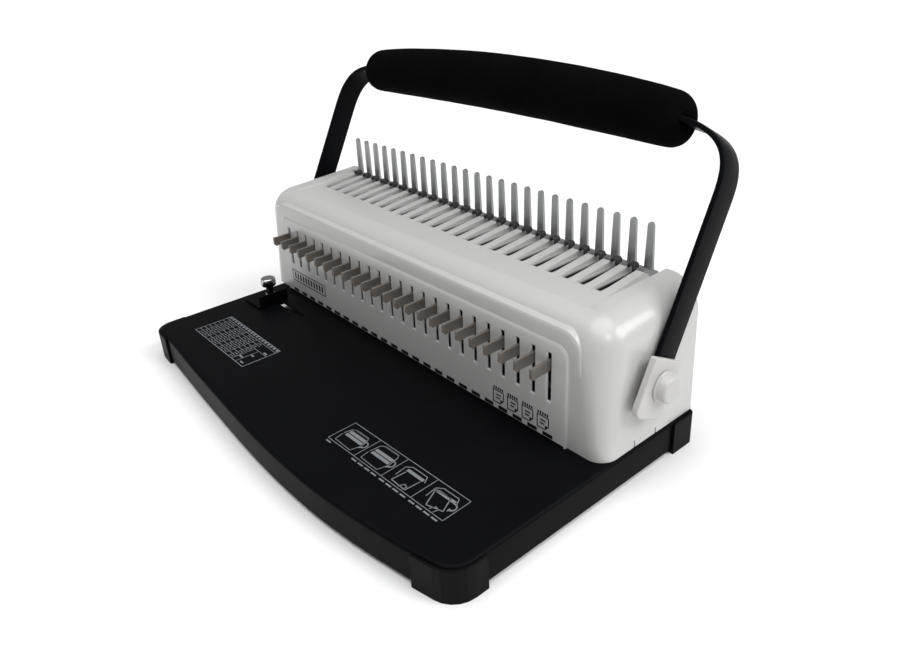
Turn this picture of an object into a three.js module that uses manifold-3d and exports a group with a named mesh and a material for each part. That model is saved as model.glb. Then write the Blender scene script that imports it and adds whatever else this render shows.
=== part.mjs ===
// Comb binding machine: a desk punch and comb opener worked by one foam-covered handle.
// Millimetres, +Z up, the deck in front of the housing runs towards -Y.
// Inside this file X = 0 is the middle of the pin row, Y = 0 is the foot of the front panel and
// Z = 0 is the table. The last lines move the whole machine so that X = Y = 0 is the middle of its box.

import * as THREE from 'three';
import { mergeVertices } from 'three/addons/utils/BufferGeometryUtils.js';
import Module from 'manifold-3d';

const wasm = await Module();
wasm.setup();

// ---------------------------------------------------------------- driving dimensions
const GAP = 0.3;               // clearance between pieces that touch
const PITCH = 14.2875;         // comb pitch, 9/16 inch
const PINS = 24;
const PIN_SPAN = PITCH * (PINS - 1);

const DECK_Z = 25.5;           // top of the base tray
const TRAY = { left: -197, right: 211, rear: 96, bottom: 3.3, skin: 1.5, rearCorner: 3.5 };
const FRONT_LEFT_Y = -124.5;
const FRONT_RIGHT_Y = -121;

const COVER = { left: -208.5, right: 208, front: 2.4, rear: 96, bottom: DECK_Z + GAP, wall: 2.5 };
const DRAFT = 1.6;             // the side walls stand this much further out at the bottom
const COVER_RAKE = 0.024;      // the front leans back by this slope
const TOP_FRONT_Z = 118.2;
const TOP_REAR_Z = 124.4;
const FLOOR_Z = 119.3;         // floor of the sunk middle of the cover's top
const CEILING_Z = 116.8;
const RECESS_X = 180;
const SKIN_END_Y = 86.6;       // the sunk floor stops here, in front of the finger plate

const SLOT = { width: 3, bottom: 55.9, top: 91.1 };
const THROAT = 1.8;            // paper slot between deck and die
const TOP_SLOT = { width: 4.2, front: 47 };

const PIVOT = { y: 47.2, z: 70.5 };
const SHAFT_R = 6;
const LEAN = THREE.MathUtils.degToRad(27.7);  // the handle leans back by this much at rest
const ARM = { outside: 213.6, thick: 3.5, width: 20.5, back: 2.2 };
const HALF_STROKE = THREE.MathUtils.degToRad(42.5);
const RAM_STROKE = 18;
const HOOK_STROKE = 30;
const CRANK_R = RAM_STROKE / 2 / Math.sin(HALF_STROKE);
const LEVER_R = HOOK_STROKE / 2 / Math.sin(HALF_STROKE);

const PUNCH = { wide: 8, deep: 3.2, y: 10, tip: 28.5 };
const RAM = { x: 192, front: 7, rear: 19, bottom: 66, top: 94 };
const DIE_X = 178;

// ---------------------------------------------------------------- geometry helpers
function box(x0, x1, y0, y1, z0, z1) {
  const shape = new THREE.BoxGeometry(x1 - x0, y1 - y0, z1 - z0);
  return shape.translate((x0 + x1) / 2, (y0 + y1) / 2, (z0 + z1) / 2);
}

// Cylinder along X, Y or Z from a to b, centred on the other two coordinates.
function rod(axis, a, b, p, q, radius, segments = 24, radiusEnd = radius) {
  const shape = new THREE.CylinderGeometry(radiusEnd, radius, b - a, segments);
  const middle = (a + b) / 2;
  if (axis === 'x') return shape.rotateZ(-Math.PI / 2).translate(middle, p, q);
  if (axis === 'y') return shape.translate(p, middle, q);
  return shape.rotateX(Math.PI / 2).translate(p, q, middle);
}

// Outline from corners [a, b, radius]: a corner with a radius becomes an arc.
function rounded(corners, arcSteps = 5) {
  const points = [];
  corners.forEach(([a, b, radius = 0], i) => {
    const here = new THREE.Vector2(a, b);
    if (radius === 0) {
      points.push(here);
      return;
    }
    const before = corners[(i + corners.length - 1) % corners.length];
    const after = corners[(i + 1) % corners.length];
    const toBefore = new THREE.Vector2(before[0], before[1]).sub(here).normalize();
    const toAfter = new THREE.Vector2(after[0], after[1]).sub(here).normalize();
    const half = Math.acos(THREE.MathUtils.clamp(toBefore.dot(toAfter), -1, 1)) / 2;
    const centre = toBefore.clone().add(toAfter).normalize();
    centre.multiplyScalar(radius / Math.sin(half)).add(here);
    const start = toBefore.multiplyScalar(radius / Math.tan(half)).add(here).sub(centre);
    const end = toAfter.multiplyScalar(radius / Math.tan(half)).add(here).sub(centre);
    let sweep = end.angle() - start.angle();
    if (sweep > Math.PI) sweep -= 2 * Math.PI;
    if (sweep < -Math.PI) sweep += 2 * Math.PI;
    for (let k = 0; k <= arcSteps; k += 1) {
      points.push(start.clone().rotateAround(new THREE.Vector2(), (sweep * k) / arcSteps).add(centre));
    }
  });
  return points;
}

// Prism of an outline in the plane across the named axis, from lo to hi along it.
// The outline's pairs are (y, z) across X, (x, z) across Y and (x, y) across Z.
function prism(axis, outline, lo, hi) {
  const shape = new THREE.Shape(outline);
  const solid = new THREE.ExtrudeGeometry(shape, { depth: hi - lo, bevelEnabled: false });
  if (axis === 'x') {
    const turn = new THREE.Matrix4().set(0, 0, 1, lo, 1, 0, 0, 0, 0, 1, 0, 0, 0, 0, 0, 1);
    return solid.applyMatrix4(turn);
  }
  if (axis === 'y') return solid.rotateX(Math.PI / 2).translate(0, hi, 0);
  return solid.translate(0, 0, lo);
}

function toSolid(geometry) {
  const bare = geometry.clone();
  bare.deleteAttribute('normal');
  bare.deleteAttribute('uv');
  const merged = mergeVertices(bare, 1e-4);
  const vertProperties = new Float32Array(merged.attributes.position.array);
  const triVerts = new Uint32Array(merged.index.array);
  return new wasm.Manifold(new wasm.Mesh({ numProp: 3, vertProperties, triVerts }));
}

function toGeometry(solid) {
  const mesh = solid.getMesh();
  const geometry = new THREE.BufferGeometry();
  geometry.setAttribute('position', new THREE.BufferAttribute(mesh.vertProperties, 3));
  geometry.setIndex(new THREE.BufferAttribute(mesh.triVerts, 1));
  return geometry;
}

function join(...geometries) {
  return geometries.map(toSolid).reduce((all, next) => all.add(next));
}

function cut(solid, ...geometries) {
  return geometries.map(toSolid).reduce((rest, next) => rest.subtract(next), solid);
}

const pinX = (i) => (i - (PINS - 1) / 2) * PITCH;
const eachPin = (make) => Array.from({ length: PINS }, (_, i) => make(pinX(i)));
const bothSides = (make) => [make(-1, 'left'), make(1, 'right')];

// ---------------------------------------------------------------- materials
function paint(color, roughness, metalness) {
  return new THREE.MeshStandardMaterial({ color, roughness, metalness });
}
const black = paint(0x17181b, 0.45, 0.3);
const blackPlastic = paint(0x1b1c20, 0.55, 0);
const white = paint(0xd4d3cf, 0.42, 0);
const cap = paint(0xcfcdc9, 0.4, 0);
const foam = paint(0x0d0d0f, 0.95, 0);
const zinc = paint(0x8c918f, 0.38, 0.85);
const darkSteel = paint(0x4a4c4f, 0.4, 0.85);
const tabBrown = paint(0x4d443d, 0.5, 0.1);
const chrome = paint(0xc8c8ca, 0.15, 1);
const nylon = paint(0xe2dfd6, 0.5, 0);
const smoke = paint(0x2a2b2e, 0.5, 0);

const machine = new THREE.Group();
function addPart(name, geometry, material) {
  const mesh = new THREE.Mesh(geometry, material);
  mesh.name = name;
  machine.add(mesh);
  return mesh;
}

// ---------------------------------------------------------------- base tray, feet and chip drawer
// Plan outline of the tray, moved in by "inset". Its front edge bows out in a slow curve.
function trayOutline(inset) {
  const front = new THREE.SplineCurve([
    new THREE.Vector2(-160, -127),
    new THREE.Vector2(-85, -133.4),
    new THREE.Vector2(14, -139.6),
    new THREE.Vector2(83, -139.9),
    new THREE.Vector2(133, -135.6),
    new THREE.Vector2(174, -129.2),
  ]);
  const bow = front.getPoints(16).map((p) => [p.x, p.y + inset]);
  return rounded([
    [TRAY.right - inset, TRAY.rear - inset, TRAY.rearCorner - inset],
    [TRAY.left + inset, TRAY.rear - inset, TRAY.rearCorner - inset],
    [TRAY.left + inset, FRONT_LEFT_Y + inset, 15 - inset],
    ...bow,
    [TRAY.right - inset, FRONT_RIGHT_Y + inset, 17 - inset],
  ]);
}

// In front of "pass" the drawer's walls stay below "lip", so that the punches go down over them.
const DRAWER = { x: 166, front: 3, bottom: 5, top: 18.5, wall: 1.5, face: 95.6, lip: 9.5, pass: 14 };
const RUNNER = { gap: 2, thick: 1.5, ledge: 7, rear: 92, bottom: 3.5, ledgeTop: 4.6 };
const GUIDE = { x: -176, y: -22, slotHalf: 2.3, slotEnd: -116, studR: 1.9 };

function baseTray() {
  const shell = cut(toSolid(prism('z', trayOutline(0), TRAY.bottom, DECK_Z)),
    prism('z', trayOutline(TRAY.skin), 0, DECK_Z - TRAY.skin));
  const runners = [-1, 1].map((side) => {
    const across = (a, b) => [Math.min(side * a, side * b), Math.max(side * a, side * b)];
    const inner = DRAWER.x + RUNNER.gap;
    const outer = inner + RUNNER.thick;
    const up = box(...across(inner, outer), DRAWER.pass, RUNNER.rear, RUNNER.bottom, DECK_Z - 1);
    const ledge = box(...across(inner - RUNNER.ledge, outer), DRAWER.pass, RUNNER.rear,
      RUNNER.bottom, RUNNER.ledgeTop);
    return join(up, ledge);
  });
  const withRunners = shell.add(runners[0]).add(runners[1]);
  return toGeometry(cut(withRunners,
    box(-DIE_X - 2, DIE_X + 2, 5, 24, 20, 30),
    box(GUIDE.x - 4, GUIDE.slotEnd, GUIDE.y - GUIDE.slotHalf, GUIDE.y + GUIDE.slotHalf, 20, 30),
    box(-DRAWER.x - 1, DRAWER.x + 1, TRAY.rear - 2.5, TRAY.rear + 2, 4.7, DRAWER.top + 0.7)));
}
addPart('base_tray', baseTray(), black);

// A foot wraps one corner of the tray: a low pad under the skirt and a wall round the outside.
const FOOT = { proud: 1.9, wall: 24.2, pad: 3 };
function foot(x0, x1, y0, y1) {
  const corner = toSolid(box(x0, x1, y0, y1, 0, FOOT.wall));
  const outer = toSolid(prism('z', trayOutline(-FOOT.proud), 0, FOOT.wall));
  const seat = prism('z', trayOutline(-GAP), FOOT.pad, 40);
  return toGeometry(cut(corner.intersect(outer), seat));
}
const FOOT_SPAN = { x: 29, front: -98, rear: 74 };
bothSides((side, name) => {
  const x0 = side < 0 ? TRAY.left - 5 : TRAY.right - FOOT_SPAN.x;
  const x1 = side < 0 ? TRAY.left + FOOT_SPAN.x : TRAY.right + 5;
  addPart(`foot_front_${name}`, foot(x0, x1, -150, FOOT_SPAN.front), blackPlastic);
  addPart(`foot_rear_${name}`, foot(x0, x1, FOOT_SPAN.rear, 100), blackPlastic);
});

// Open drawer for the paper chips. Its walls are low under the punches.
function chipDrawer() {
  const { x, front, bottom, top, wall, face, lip, pass } = DRAWER;
  return toGeometry(cut(toSolid(box(-x, x, front, face, bottom, top)),
    box(-x + wall, x - wall, front + wall, face - wall, bottom + wall, top + 5),
    box(-x - 1, x + 1, front - 1, pass, lip, top + 5)));
}
addPart('chip_drawer', chipDrawer(), smoke);

// ---------------------------------------------------------------- housing
// Solid block with the cover's outer form, moved in by "inset" and left long at the bottom and the back.
function coverBlock(inset) {
  const { left, right, front, rear, bottom } = COVER;
  const low = inset ? bottom - 5 : bottom;
  const back = inset ? rear + 5 : rear;
  const faceY = (z) => front + inset + COVER_RAKE * (z - DECK_Z);
  const side = rounded([
    [faceY(low), low],
    [back, low],
    [back, inset ? CEILING_Z : TOP_REAR_Z, inset ? 0 : 5],
    [faceY(TOP_FRONT_Z), inset ? CEILING_Z - 1 : TOP_FRONT_Z, 21 - inset],
  ]);
  const across = rounded([
    [left - DRAFT + inset, low],
    [right + DRAFT - inset, low],
    [right - inset, TOP_REAR_Z - inset, 25 - inset],
    [left + inset, TOP_REAR_Z - inset, 25 - inset],
  ]);
  const plan = rounded([
    [left - DRAFT + inset, front + inset, 14 - inset],
    [right + DRAFT - inset, front + inset, 14 - inset],
    [right + DRAFT - inset, back, inset ? 0 : 3],
    [left - DRAFT + inset, back, inset ? 0 : 3],
  ]);
  return toSolid(prism('x', side, left - 5, right + 5))
    .intersect(toSolid(prism('y', across, front - 5, rear + 10)))
    .intersect(toSolid(prism('z', plan, low - 5, TOP_REAR_Z + 5)));
}

// Two raised steps on the front: the outer one fades out downwards, the inner one carries the slots.
const OUTER_STEP = { half: 189, bottom: 70, top: 111.5, corner: 14 };
const INNER_STEP = { half: 180, top: 100.2, corner: 9 };
function stepFace({ half, top, corner }, bottom) {
  return rounded([[-half, bottom], [half, bottom], [half, top, corner], [-half, top, corner]]);
}
function outerStep() {
  const face = stepFace(OUTER_STEP, OUTER_STEP.bottom);
  const wedge = [[6, 70], [6, 112], [3.2, 112], [3.0, 95], [3.8, 78]].map((p) => new THREE.Vector2(...p));
  return toSolid(prism('y', face, -5, 6)).intersect(toSolid(prism('x', wedge, -200, 200)));
}
function innerStep() {
  const { bottom } = COVER;
  const face = stepFace(INNER_STEP, bottom);
  const rise = COVER_RAKE * (INNER_STEP.top - DECK_Z);
  const over = INNER_STEP.top + 0.8;
  const wedge = [[5, bottom], [5 + rise, over], [rise, over], [0, bottom]]
    .map((p) => new THREE.Vector2(...p));
  return toSolid(prism('y', face, -5, 8)).intersect(toSolid(prism('x', wedge, -200, 200)));
}

// White ribs stand between the hook slots and grow towards the fingers.
const RIB = { front: 42, crest: SKIN_END_Y - 4.5, rear: SKIN_END_Y - 0.7, root: 0.6, rise: 3.9, tail: 0.9 };
function topRib(x) {
  const half = (PITCH - TOP_SLOT.width) / 2 - 0.4;
  const wedge = [[RIB.front, FLOOR_Z - RIB.root], [RIB.rear, FLOOR_Z - RIB.root],
    [RIB.rear, FLOOR_Z + RIB.tail], [RIB.crest, FLOOR_Z + RIB.rise], [RIB.front, FLOOR_Z]]
    .map((p) => new THREE.Vector2(...p));
  return prism('x', wedge, x - half, x + half);
}

function topCover() {
  const recess = rounded([[-RECESS_X, FLOOR_Z], [RECESS_X, FLOOR_Z], [RECESS_X + 4, FLOOR_Z + 8],
    [-RECESS_X - 4, FLOOR_Z + 8]]);
  let cover = coverBlock(0).add(outerStep()).add(innerStep()).subtract(coverBlock(COVER.wall));
  cover = cut(cover, prism('y', recess, 15, 110));
  for (let j = 0; j <= PINS; j += 1) cover = cover.add(toSolid(topRib(pinX(j) - PITCH / 2)));
  return toGeometry(cut(cover,
    box(-RECESS_X - 1.5, RECESS_X + 1.5, SKIN_END_Y, 100, 110, 140),
    ...eachPin((x) => box(x - TOP_SLOT.width / 2, x + TOP_SLOT.width / 2, TOP_SLOT.front, 100, 110, 140)),
    ...eachPin((x) => box(x - SLOT.width / 2, x + SLOT.width / 2, -2, 8, SLOT.bottom, SLOT.top)),
    box(-DIE_X - 0.5, DIE_X + 0.5, -2, 8, 20, DECK_Z + THROAT),
    rod('x', COVER.left - 2, COVER.right + 2, PIVOT.y, PIVOT.z, 8.4)));
}
addPart('top_cover', topCover(), white);

function rearCover() {
  const margin = COVER.wall + 0.5;
  const bottom = DECK_Z + GAP;
  const outline = rounded([[COVER.left + margin, bottom], [COVER.right - margin, bottom],
    [COVER.right - margin, CEILING_Z - 0.8, 20], [COVER.left + margin, CEILING_Z - 0.8, 20]]);
  return prism('y', outline, 93, 95);
}
addPart('rear_cover', rearCover(), white);

// ---------------------------------------------------------------- frames, shaft and bushes
const FRAME = { inner: 196, thick: 3, front: 8, rear: 90, top: 112 };
function sideFrame(side) {
  const plate = rounded([[FRAME.front, DECK_Z + GAP], [FRAME.rear, DECK_Z + GAP],
    [FRAME.rear, FRAME.top, 8], [FRAME.front + 12, FRAME.top, 8], [FRAME.front, 98, 6]]);
  const lo = side > 0 ? FRAME.inner : -FRAME.inner - FRAME.thick;
  return toGeometry(cut(toSolid(prism('x', plate, lo, lo + FRAME.thick)),
    rod('x', lo - 1, lo + FRAME.thick + 1, PIVOT.y, PIVOT.z, 8.4)));
}
bothSides((side, name) => addPart(`side_frame_${name}`, sideFrame(side), darkSteel));

function bush(side) {
  const outside = ARM.outside - ARM.thick - 0.5;
  const lo = side > 0 ? FRAME.inner - 1.5 : -outside;
  const hi = side > 0 ? outside : -FRAME.inner + 1.5;
  return toGeometry(cut(toSolid(rod('x', lo, hi, PIVOT.y, PIVOT.z, 8)),
    rod('x', lo - 1, hi + 1, PIVOT.y, PIVOT.z, SHAFT_R + GAP)));
}
bothSides((side, name) => addPart(`bush_${name}`, bush(side), nylon));

const SHAFT_END = ARM.outside - ARM.thick - GAP;
addPart('drive_shaft', rod('x', -SHAFT_END, SHAFT_END, PIVOT.y, PIVOT.z, SHAFT_R), zinc);

// Arm with a hub round the shaft and a round pin that works in a fork. "angle" is from -Y upwards.
function shaftArm(x0, radius, angle, pinFrom, pinTo) {
  const y = PIVOT.y - radius * Math.cos(angle);
  const z = PIVOT.z + radius * Math.sin(angle);
  const along = new THREE.Vector2(y - PIVOT.y, z - PIVOT.z).normalize();
  const across = new THREE.Vector2(-along.y, along.x);
  const corner = (cy, cz, r) => [cy + across.x * r, cz + across.y * r];
  const web = [corner(PIVOT.y, PIVOT.z, 8), corner(y, z, 4.5), corner(y, z, -4.5),
    corner(PIVOT.y, PIVOT.z, -8)];
  const plate = join(prism('x', web.map((p) => new THREE.Vector2(...p)), x0, x0 + 5),
    rod('x', x0, x0 + 5, PIVOT.y, PIVOT.z, 10),
    rod('x', x0, x0 + 5, y, z, 5, 16),
    rod('x', pinFrom, pinTo, y, z, 3, 16));
  return toGeometry(cut(plate, rod('x', x0 - 1, x0 + 6, PIVOT.y, PIVOT.z, SHAFT_R + GAP)));
}
const CRANK_X = 150;
const LEVER_X = 120;
bothSides((side, name) => {
  const crankAt = side > 0 ? CRANK_X + 0.5 : -CRANK_X - 5.5;
  const crankPin = side > 0 ? [CRANK_X - 5, CRANK_X + 5] : [-CRANK_X - 5, -CRANK_X + 5];
  addPart(`crank_${name}`, shaftArm(crankAt, CRANK_R, HALF_STROKE, ...crankPin), darkSteel);
  const leverAt = side > 0 ? LEVER_X + 0.5 : -LEVER_X - 5.5;
  const leverPin = side > 0 ? [LEVER_X - 5, LEVER_X + 5] : [-LEVER_X - 5, -LEVER_X + 5];
  const rest = Math.PI / 2 + HALF_STROKE;
  addPart(`hook_lever_${name}`, shaftArm(leverAt, LEVER_R, rest, ...leverPin), darkSteel);
});

// ---------------------------------------------------------------- ram, punches and die
const FORK = { half: 3.6, prong: 4 };
const TAB = { thick: 2.6, bottom: 78, top: 86.3, front: -15, tail: 17 };

function ramBar() {
  const crankZ = PIVOT.z + CRANK_R * Math.sin(HALF_STROKE);
  const forks = [-1, 1].flatMap((side) => {
    const x0 = side > 0 ? CRANK_X - 4 : -CRANK_X;
    const reach = PIVOT.y - SHAFT_R - 0.6;
    return [
      box(x0, x0 + 4, RAM.rear - 1, reach, crankZ + FORK.half, crankZ + FORK.half + FORK.prong),
      box(x0, x0 + 4, RAM.rear - 1, reach, crankZ - FORK.half - FORK.prong, crankZ - FORK.half),
    ];
  });
  const half = TAB.thick / 2 + GAP;
  return toGeometry(cut(join(box(-RAM.x, RAM.x, RAM.front, RAM.rear, RAM.bottom, RAM.top), ...forks),
    ...eachPin((x) => box(x - half, x + half, RAM.front - 1, RAM.rear + 1,
      TAB.bottom - GAP, TAB.top + GAP))));
}
addPart('ram_bar', ramBar(), darkSteel);

function punchSet() {
  const strip = box(-DIE_X + 2, DIE_X - 2, RAM.front, RAM.rear, 60, RAM.bottom - GAP);
  return toGeometry(join(strip, ...eachPin((x) => box(x - PUNCH.wide / 2, x + PUNCH.wide / 2,
    PUNCH.y - PUNCH.deep / 2, PUNCH.y + PUNCH.deep / 2, PUNCH.tip, 61))));
}
addPart('punch_set', punchSet(), zinc);

function punchHoles(z0, z1) {
  const slack = 0.4;
  return eachPin((x) => box(x - PUNCH.wide / 2 - slack, x + PUNCH.wide / 2 + slack,
    PUNCH.y - PUNCH.deep / 2 - slack, PUNCH.y + PUNCH.deep / 2 + slack, z0, z1));
}
addPart('punch_guide', toGeometry(cut(
  toSolid(box(-DIE_X + 1, DIE_X - 1, 6, 22, DECK_Z + THROAT, 40)), ...punchHoles(20, 50))), darkSteel);
addPart('die_plate', toGeometry(cut(
  toSolid(box(-DIE_X - 1, DIE_X + 1, 5.6, 23.4, 20, DECK_Z)), ...punchHoles(10, 30))), zinc);
addPart('paper_stop', box(-DIE_X + 1, DIE_X - 1, 14.5, 22, DECK_Z + GAP, DECK_Z + THROAT - GAP), zinc);

// A selector tab: a flat plate with a rounded lower front corner, pulled out to rest its punch.
function selectorTab() {
  const outline = rounded([[TAB.front, TAB.bottom, 2.4], [TAB.tail, TAB.bottom], [TAB.tail, TAB.top],
    [TAB.front, TAB.top, 0.8]], 3);
  return prism('x', outline, -TAB.thick / 2, TAB.thick / 2);
}
for (let i = 0; i < PINS; i += 1) {
  const tab = addPart(`selector_tab_${String(i + 1).padStart(2, '0')}`, selectorTab(), tabBrown);
  tab.position.x = pinX(i);
}

// ---------------------------------------------------------------- comb opener
// Fixed plate with the row of tapered fingers that hold the comb.
const FINGER = { base: 122.3, tip: 155.5, foot: 7, end: 4.8, front: 90, rear: 92, shelf: 3 };
function fingerComb() {
  const half = PIN_SPAN / 2 + PITCH / 2 + 7;
  const outline = [[-half, 98], [half, 98], [half, FINGER.base]];
  for (let j = PINS; j >= 0; j -= 1) {
    const x = pinX(j) - PITCH / 2;
    outline.push([x + FINGER.foot / 2, FINGER.base]);
    for (let k = 0; k <= 6; k += 1) {
      const turn = (Math.PI * k) / 6;
      const r = FINGER.end / 2;
      outline.push([x + r * Math.cos(turn), FINGER.tip - r + r * Math.sin(turn)]);
    }
    outline.push([x - FINGER.foot / 2, FINGER.base]);
  }
  outline.push([-half, FINGER.base]);
  const plate = prism('y', outline.map((p) => new THREE.Vector2(...p)), FINGER.front, FINGER.rear);
  const { front, base, shelf } = FINGER;
  const slope = [[front + 1, base], [front + 1, base - 1.6], [front - shelf + 1, base - shelf - 1.6],
    [front - shelf, base - shelf - 0.6], [front, base]].map((p) => new THREE.Vector2(...p));
  return toGeometry(join(plate, prism('x', slope, -half, half)));
}
addPart('finger_comb', fingerComb(), zinc);

// Sliding plate with a hook in each slot; two forks under it take the lever pins.
const HOOK = { front: 80, rear: 86, half: 1.6, plateZ: 108.2 };
function hookProfile() {
  const { front, rear, plateZ } = HOOK;
  return [[front + 1.6, plateZ + 2], [rear - 1.2, plateZ + 2], [rear - 1.2, 122], [rear, 123.4], [rear, 126.4],
    [rear - 1.6, 127.4], [front + 1.2, 127.4], [front, 126.2], [front, 123.4], [front + 1.6, 122]]
    .map((p) => new THREE.Vector2(...p));
}
function hookComb() {
  const pinZ = PIVOT.z + LEVER_R * Math.sin(Math.PI / 2 + HALF_STROKE);
  const pinY = PIVOT.y - LEVER_R * Math.cos(Math.PI / 2 + HALF_STROKE);
  const plate = box(-186, 186, pinY - 9, HOOK.rear, HOOK.plateZ, HOOK.plateZ + 3);
  const forks = [-1, 1].flatMap((side) => {
    const x0 = side > 0 ? LEVER_X - 4 : -LEVER_X;
    return [-1, 1].map((prong) => {
      const y = pinY + prong * (FORK.half + FORK.prong / 2);
      return box(x0, x0 + 4, y - FORK.prong / 2, y + FORK.prong / 2, pinZ - 5, HOOK.plateZ + 1);
    });
  });
  const hooks = eachPin((x) => prism('x', hookProfile(), x - HOOK.half, x + HOOK.half));
  return toGeometry(join(plate, ...forks, ...hooks));
}
addPart('hook_comb', hookComb(), darkSteel);

// Angle rails bolted to the side frames carry the ends of the hook plate.
function hookRail(side) {
  const x = (a, b) => (side > 0 ? [a, b] : [-b, -a]);
  return toGeometry(join(
    box(...x(177, FRAME.inner - GAP), 12, 88, HOOK.plateZ - GAP - 2, HOOK.plateZ - GAP),
    box(...x(FRAME.inner - GAP - 2, FRAME.inner - GAP), 22, 88, 92, HOOK.plateZ - GAP)));
}
bothSides((side, name) => addPart(`hook_rail_${name}`, hookRail(side), darkSteel));

// ---------------------------------------------------------------- handle
// The handle is drawn upright in its own plane: x across, z along the arm from the pivot.
const HANDLE_HALF = ARM.outside - ARM.thick / 2;
const BEND_FROM = 121;
const SHOULDER = { x: 168, z: 163.2 };
const CROWN_Z = 169.4;

// Middle line of half of the handle bar, from the pivot end to the crown.
function handleMidline() {
  const bend = new THREE.CubicBezierCurve(
    new THREE.Vector2(HANDLE_HALF, BEND_FROM),
    new THREE.Vector2(HANDLE_HALF, BEND_FROM + 20),
    new THREE.Vector2(SHOULDER.x + 40, SHOULDER.z - 3),
    new THREE.Vector2(SHOULDER.x, SHOULDER.z));
  const bow = new THREE.QuadraticBezierCurve(
    new THREE.Vector2(SHOULDER.x, SHOULDER.z),
    new THREE.Vector2(SHOULDER.x / 2, CROWN_Z),
    new THREE.Vector2(0, CROWN_Z));
  return [new THREE.Vector2(HANDLE_HALF, -12), ...bend.getPoints(9), ...bow.getPoints(8).slice(1)];
}

// Closed outline of the bar: the whole midline moved out and in by half its thickness.
function handleOutline(thick) {
  const right = handleMidline();
  const left = right.slice(0, -1).reverse().map((p) => new THREE.Vector2(-p.x, p.y));
  const line = [...right, ...left];
  const offset = (distance) => line.map((p, i) => {
    const a = line[Math.max(i - 1, 0)];
    const b = line[Math.min(i + 1, line.length - 1)];
    const along = b.clone().sub(a).normalize();
    return new THREE.Vector2(p.x + along.y * distance, p.y - along.x * distance);
  });
  return [...offset(thick / 2), ...offset(-thick / 2).reverse()];
}

const handleGroup = new THREE.Group();
handleGroup.position.set(0, PIVOT.y, PIVOT.z);
handleGroup.rotation.x = -LEAN;
machine.add(handleGroup);
function addToHandle(name, geometry, material) {
  const mesh = addPart(name, geometry, material);
  handleGroup.add(mesh);
}

function handleStrip(margin) {
  return prism('y', handleOutline(ARM.thick + 2 * margin), ARM.back - ARM.width / 2 - margin,
    ARM.back + ARM.width / 2 + margin);
}
addToHandle('handle_bar', handleStrip(0), black);

// Barrel of foam bent along the bar, with a flat channel for the bar through it.
const GRIP = { left: -177, right: 170, middle: 22.3, end: 17, dome: 10 };
function foamGrip() {
  const profile = [[0, 0], [GRIP.end - 5.5, 0.6], [GRIP.end - 1.6, 3.2], [GRIP.end, GRIP.dome]];
  const length = GRIP.right - GRIP.left;
  for (let k = 1; k < 10; k += 1) {
    const t = k / 10;
    const swell = Math.pow(Math.sin(Math.PI * t), 0.45);
    profile.push([GRIP.end + (GRIP.middle - GRIP.end) * swell, GRIP.dome + t * (length - 2 * GRIP.dome)]);
  }
  profile.push([GRIP.end, length - GRIP.dome], [GRIP.end - 1.6, length - 3.2], [GRIP.end - 5.5, length - 0.6],
    [0, length]);
  const barrel = new THREE.LatheGeometry(profile.map((p) => new THREE.Vector2(...p)), 20);
  barrel.rotateZ(-Math.PI / 2).translate(GRIP.left, ARM.back, 0);
  const place = barrel.attributes.position;
  for (let i = 0; i < place.count; i += 1) {
    const x = Math.min(Math.abs(place.getX(i)) / SHOULDER.x, 1.1);
    place.setZ(i, place.getZ(i) + CROWN_Z - (CROWN_Z - SHOULDER.z) * x * x);
  }
  return toGeometry(cut(toSolid(barrel), handleStrip(GAP)));
}
addToHandle('foam_grip', foamGrip(), foam);

// White covers on the lower ends of the arms, with a round cap on each pivot.
const SHOE = { low: -23.2, high: 17.3, front: -18.4, rear: 12.6, thick: 5.1 };
function pivotCover(side) {
  const inner = side * (ARM.outside + GAP);
  const outer = side * (ARM.outside + SHOE.thick);
  const outline = rounded([[SHOE.front, SHOE.low, 7], [SHOE.rear, SHOE.low, 7],
    [SHOE.rear, SHOE.high, 1.5], [SHOE.front, SHOE.high, 1.5]]);
  return prism('x', outline, Math.min(inner, outer), Math.max(inner, outer));
}
const CAP = { foot: 10.6, face: 8.6, length: 7.6 };
function pivotCap(side) {
  const from = ARM.outside + SHOE.thick + GAP;
  const to = from + CAP.length;
  if (side > 0) return rod('x', from, to, 0, 0, CAP.foot, 28, CAP.face);
  return rod('x', -to, -from, 0, 0, CAP.face, 28, CAP.foot);
}
bothSides((side, name) => {
  addToHandle(`pivot_cover_${name}`, pivotCover(side), white);
  addToHandle(`pivot_cap_${name}`, pivotCap(side), cap);
});

// ---------------------------------------------------------------- edge guide
// A bent steel guide slides over the deck slot; a knob on a stud locks it.
const FENCE = { x: -158.7, front: -41, rear: -13, top: 36.5, thick: 1.6, flange: 26 };
function edgeGuide() {
  const { x, front, rear, top, thick, flange } = FENCE;
  const base = DECK_Z + GAP;
  return toGeometry(cut(
    join(box(x - flange, x, front - 2.5, rear, base, base + thick),
      box(x - thick, x, front, rear, base, top)),
    rod('z', base - 5, base + 5, GUIDE.x, GUIDE.y, GUIDE.studR + GAP)));
}
addPart('edge_guide', edgeGuide(), black);

const KNOB = { stemFrom: DECK_Z + 2.2, headFrom: 37.4, top: 45.2, r: 6.8, stemR: 3.5, teeth: 24 };
function guideKnob() {
  const { x, y, studR } = GUIDE;
  const ring = Array.from({ length: KNOB.teeth * 2 }, (_, k) => {
    const r = k % 2 ? KNOB.r : KNOB.r - 0.6;
    const turn = (Math.PI * k) / KNOB.teeth;
    return new THREE.Vector2(x + r * Math.cos(turn), y + r * Math.sin(turn));
  });
  return toGeometry(join(prism('z', ring, KNOB.headFrom, KNOB.top),
    rod('z', KNOB.stemFrom, KNOB.headFrom + 1, x, y, KNOB.stemR),
    rod('z', 21, KNOB.stemFrom + 1, x, y, studR, 16)));
}
addPart('guide_knob', guideKnob(), chrome);

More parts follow.
